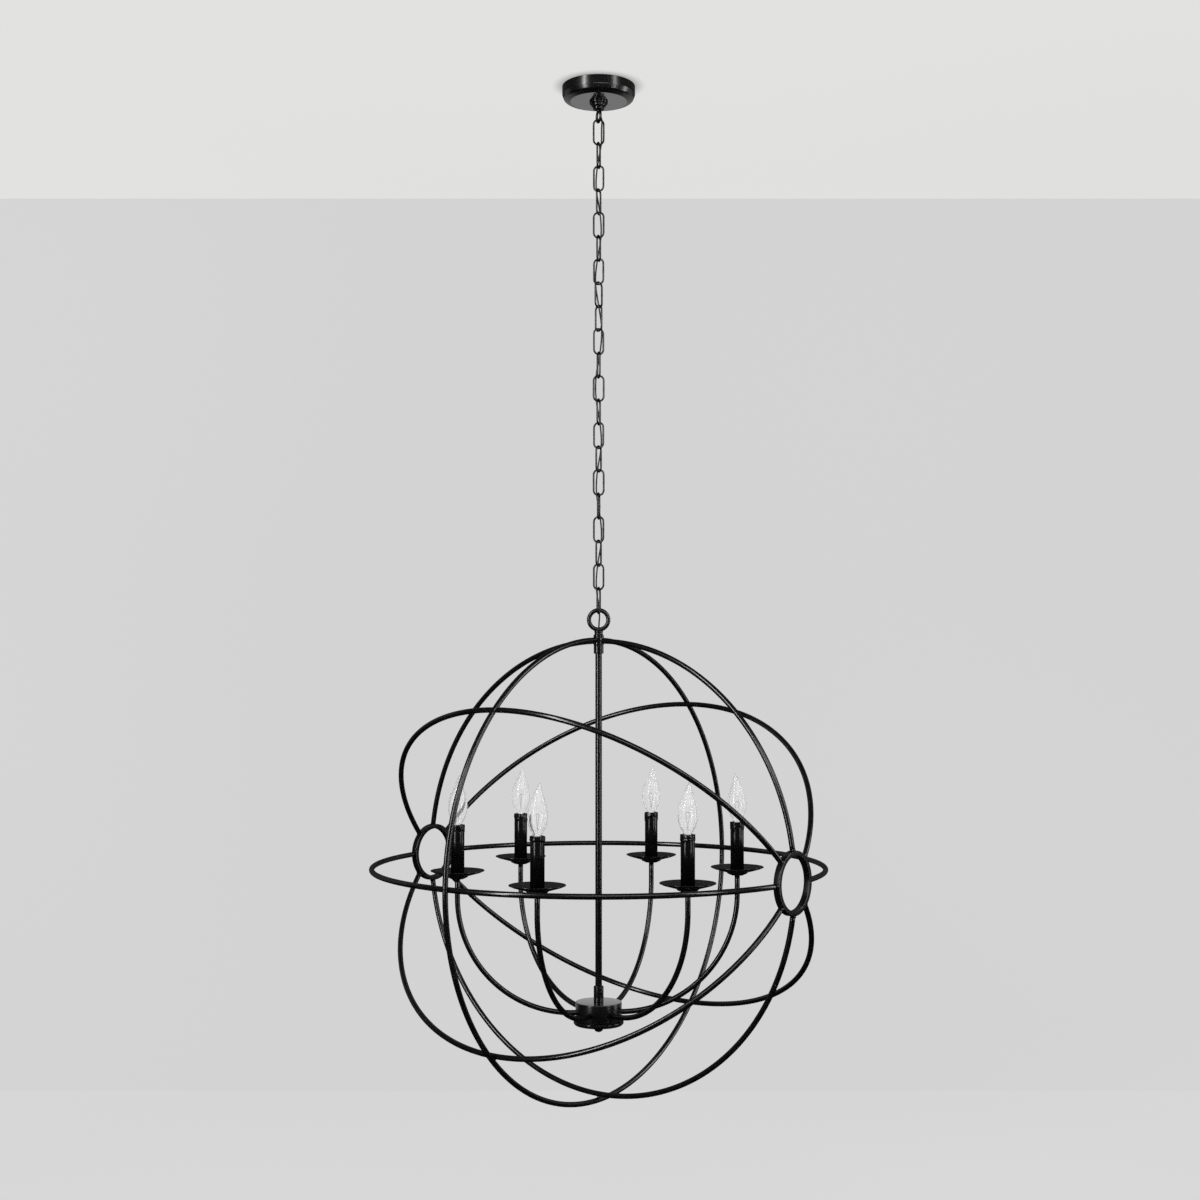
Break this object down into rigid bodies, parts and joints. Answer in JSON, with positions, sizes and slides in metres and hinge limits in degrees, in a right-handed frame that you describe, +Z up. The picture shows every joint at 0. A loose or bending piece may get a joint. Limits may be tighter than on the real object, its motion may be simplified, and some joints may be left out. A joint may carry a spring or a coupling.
{
  "type": "orb chandelier",
  "caption": "Orb chandelier with candle arms inside black metal hoops, hung from a round ceiling canopy by a chain with the supply cord wound through it.",
  "frame": {"origin": "on the ceiling, at the middle of the canopy's mouth and of the two screw slots", "axes": "+Z up, +X along the mounting strap and in the plane of the big ring that the orb hangs from, -Y toward the front, where the picture was taken"},
  "size_m": [0.7674, 0.7674, 1.7247],
  "materials": {
    "black_paint": "satin",
    "zinc_steel": "satin",
    "ground_green": "satin",
    "black_sleeve": "satin",
    "holder_plastic": "matt",
    "cord_jacket": "matt",
    "clear_glass": "clear"
  },
  "bodies": {
    "ceiling_group": {"mounting_strap": "zinc_steel", "canopy": "black_paint", "locknut": "zinc_steel", "ground_screw": "ground_green", "nipple": "zinc_steel", "collar_nut": "black_paint", "canopy_loop": "black_paint", "supply_cord": "cord_jacket"},
    "link_01_body": {"link_01": "black_paint"},
    "link_02_body": {"link_02": "black_paint"},
    "link_03_body": {"link_03": "black_paint"},
    "link_04_body": {"link_04": "black_paint"},
    "link_05_body": {"link_05": "black_paint"},
    "link_06_body": {"link_06": "black_paint"},
    "link_07_body": {"link_07": "black_paint"},
    "link_08_body": {"link_08": "black_paint"},
    "link_09_body": {"link_09": "black_paint"},
    "link_10_body": {"link_10": "black_paint"},
    "link_11_body": {"link_11": "black_paint"},
    "link_12_body": {"link_12": "black_paint"},
    "link_13_body": {"link_13": "black_paint"},
    "link_14_body": {"link_14": "black_paint"},
    "link_15_body": {"link_15": "black_paint"},
    "link_16_body": {"link_16": "black_paint"},
    "link_17_body": {"link_17": "black_paint"},
    "link_18_body": {"link_18": "black_paint"},
    "link_19_body": {"link_19": "black_paint"},
    "link_20_body": {"link_20": "black_paint"},
    "link_21_body": {"link_21": "black_paint"},
    "orb": {"orb_loop": "black_paint", "top_hub": "black_paint", "stem_couplers": "black_paint", "stem": "black_paint", "hub_cover": "black_paint", "hub_base": "black_paint", "centre_rod": "zinc_steel", "finial": "black_paint", "hoop_level": "black_paint", "hoop_tilted_a": "black_paint", "hoop_upright": "black_paint", "hoop_tilted_b": "black_paint", "hoop_cross": "black_paint", "side_ring_right": "black_paint", "side_ring_left": "black_paint", "arm_1": "black_paint", "arm_2": "black_paint", "arm_3": "black_paint", "arm_4": "black_paint", "arm_5": "black_paint", "arm_6": "black_paint", "arm_nuts": "zinc_steel", "drip_pans": "black_paint", "lampholders": "holder_plastic", "candle_sleeves": "black_sleeve"},
    "bulb_1_body": {"bulb_1": "clear_glass"},
    "bulb_2_body": {"bulb_2": "clear_glass"},
    "bulb_3_body": {"bulb_3": "clear_glass"},
    "bulb_4_body": {"bulb_4": "clear_glass"},
    "bulb_5_body": {"bulb_5": "clear_glass"},
    "bulb_6_body": {"bulb_6": "clear_glass"}
  },
  "joints": [
    {"name": "swing_01", "type": "hinge", "parent": "ceiling_group", "child": "link_01_body", "pos_m": [0, 0, -0.0615], "axis": [-0.309, 0.9511, 0], "range_deg": [-40, 40], "deforming": ["supply_cord"]},
    {"name": "swing_02", "type": "hinge", "parent": "link_01_body", "child": "link_02_body", "pos_m": [0, 0, -0.1011], "axis": [1, 0, 0], "range_deg": [-40, 40], "deforming": ["supply_cord"]},
    {"name": "swing_03", "type": "hinge", "parent": "link_02_body", "child": "link_03_body", "pos_m": [0, 0, -0.1413], "axis": [-0.2756, -0.9613, 0], "range_deg": [-40, 40], "deforming": ["supply_cord"]},
    {"name": "swing_04", "type": "hinge", "parent": "link_03_body", "child": "link_04_body", "pos_m": [0, 0, -0.1815], "axis": [-0.9511, 0.309, 0], "range_deg": [-40, 40], "deforming": ["supply_cord"]},
    {"name": "swing_05", "type": "hinge", "parent": "link_04_body", "child": "link_05_body", "pos_m": [0, 0, -0.2217], "axis": [0.3746, 0.9272, 0], "range_deg": [-40, 40], "deforming": ["supply_cord"]},
    {"name": "swing_06", "type": "hinge", "parent": "link_05_body", "child": "link_06_body", "pos_m": [0, 0, -0.2619], "axis": [0.9848, -0.1736, 0], "range_deg": [-40, 40], "deforming": ["supply_cord"]},
    {"name": "swing_07", "type": "hinge", "parent": "link_06_body", "child": "link_07_body", "pos_m": [0, 0, -0.3021], "axis": [-0.309, -0.9511, 0], "range_deg": [-40, 40], "deforming": ["supply_cord"]},
    {"name": "swing_08", "type": "hinge", "parent": "link_07_body", "child": "link_08_body", "pos_m": [0, 0, -0.3423], "axis": [-0.9272, 0.3746, 0], "range_deg": [-40, 40], "deforming": ["supply_cord"]},
    {"name": "swing_09", "type": "hinge", "parent": "link_08_body", "child": "link_09_body", "pos_m": [0, 0, -0.3825], "axis": [0.6428, 0.766, 0], "range_deg": [-40, 40], "deforming": ["supply_cord"]},
    {"name": "swing_10", "type": "hinge", "parent": "link_09_body", "child": "link_10_body", "pos_m": [0, 0, -0.4227], "axis": [0.5878, -0.809, 0], "range_deg": [-40, 40], "deforming": ["supply_cord"]},
    {"name": "swing_11", "type": "hinge", "parent": "link_10_body", "child": "link_11_body", "pos_m": [0, 0, -0.4629], "axis": [0.9272, 0.3746, 0], "range_deg": [-40, 40], "deforming": ["supply_cord"]},
    {"name": "swing_12", "type": "hinge", "parent": "link_11_body", "child": "link_12_body", "pos_m": [0, 0, -0.5031], "axis": [-0.2419, 0.9703, 0], "range_deg": [-40, 40], "deforming": ["supply_cord"]},
    {"name": "swing_13", "type": "hinge", "parent": "link_12_body", "child": "link_13_body", "pos_m": [0, 0, -0.5433], "axis": [-1, 0, 0], "range_deg": [-40, 40], "deforming": ["supply_cord"]},
    {"name": "swing_14", "type": "hinge", "parent": "link_13_body", "child": "link_14_body", "pos_m": [0, 0, -0.5835], "axis": [-0.2756, -0.9613, 0], "range_deg": [-40, 40], "deforming": ["supply_cord"]},
    {"name": "swing_15", "type": "hinge", "parent": "link_14_body", "child": "link_15_body", "pos_m": [0, 0, -0.6237], "axis": [0.9135, -0.4067, 0], "range_deg": [-40, 40], "deforming": ["supply_cord"]},
    {"name": "swing_16", "type": "hinge", "parent": "link_15_body", "child": "link_16_body", "pos_m": [0, 0, -0.6639], "axis": [0.4695, 0.8829, 0], "range_deg": [-40, 40], "deforming": ["supply_cord"]},
    {"name": "swing_17", "type": "hinge", "parent": "link_16_body", "child": "link_17_body", "pos_m": [0, 0, -0.7041], "axis": [-0.9976, 0.0698, 0], "range_deg": [-40, 40], "deforming": ["supply_cord"]},
    {"name": "swing_18", "type": "hinge", "parent": "link_17_body", "child": "link_18_body", "pos_m": [0, 0, -0.7443], "axis": [-0.1736, -0.9848, 0], "range_deg": [-40, 40], "deforming": ["supply_cord"]},
    {"name": "swing_19", "type": "hinge", "parent": "link_18_body", "child": "link_19_body", "pos_m": [0, 0, -0.7845], "axis": [0.9397, -0.342, 0], "range_deg": [-40, 40], "deforming": ["supply_cord"]},
    {"name": "swing_20", "type": "hinge", "parent": "link_19_body", "child": "link_20_body", "pos_m": [0, 0, -0.8247], "axis": [0.4695, 0.8829, 0], "range_deg": [-40, 40], "deforming": ["supply_cord"]},
    {"name": "swing_21", "type": "hinge", "parent": "link_20_body", "child": "link_21_body", "pos_m": [0, 0, -0.8649], "axis": [-0.9511, 0.309, 0], "range_deg": [-40, 40], "deforming": ["supply_cord"]},
    {"name": "swing_22", "type": "hinge", "parent": "link_21_body", "child": "orb", "pos_m": [0, 0, -0.9051], "axis": [-0.2756, -0.9613, 0], "range_deg": [-40, 40], "deforming": ["supply_cord"]},
    {"name": "unscrew_1", "type": "slide", "parent": "orb", "child": "bulb_1_body", "axis": [0, 0, 1], "range_m": [0, 0.022]},
    {"name": "unscrew_2", "type": "slide", "parent": "orb", "child": "bulb_2_body", "axis": [0, 0, 1], "range_m": [0, 0.022]},
    {"name": "unscrew_3", "type": "slide", "parent": "orb", "child": "bulb_3_body", "axis": [0, 0, 1], "range_m": [0, 0.022]},
    {"name": "unscrew_4", "type": "slide", "parent": "orb", "child": "bulb_4_body", "axis": [0, 0, 1], "range_m": [0, 0.022]},
    {"name": "unscrew_5", "type": "slide", "parent": "orb", "child": "bulb_5_body", "axis": [0, 0, 1], "range_m": [0, 0.022]},
    {"name": "unscrew_6", "type": "slide", "parent": "orb", "child": "bulb_6_body", "axis": [0, 0, 1], "range_m": [0, 0.022]}
  ]
}
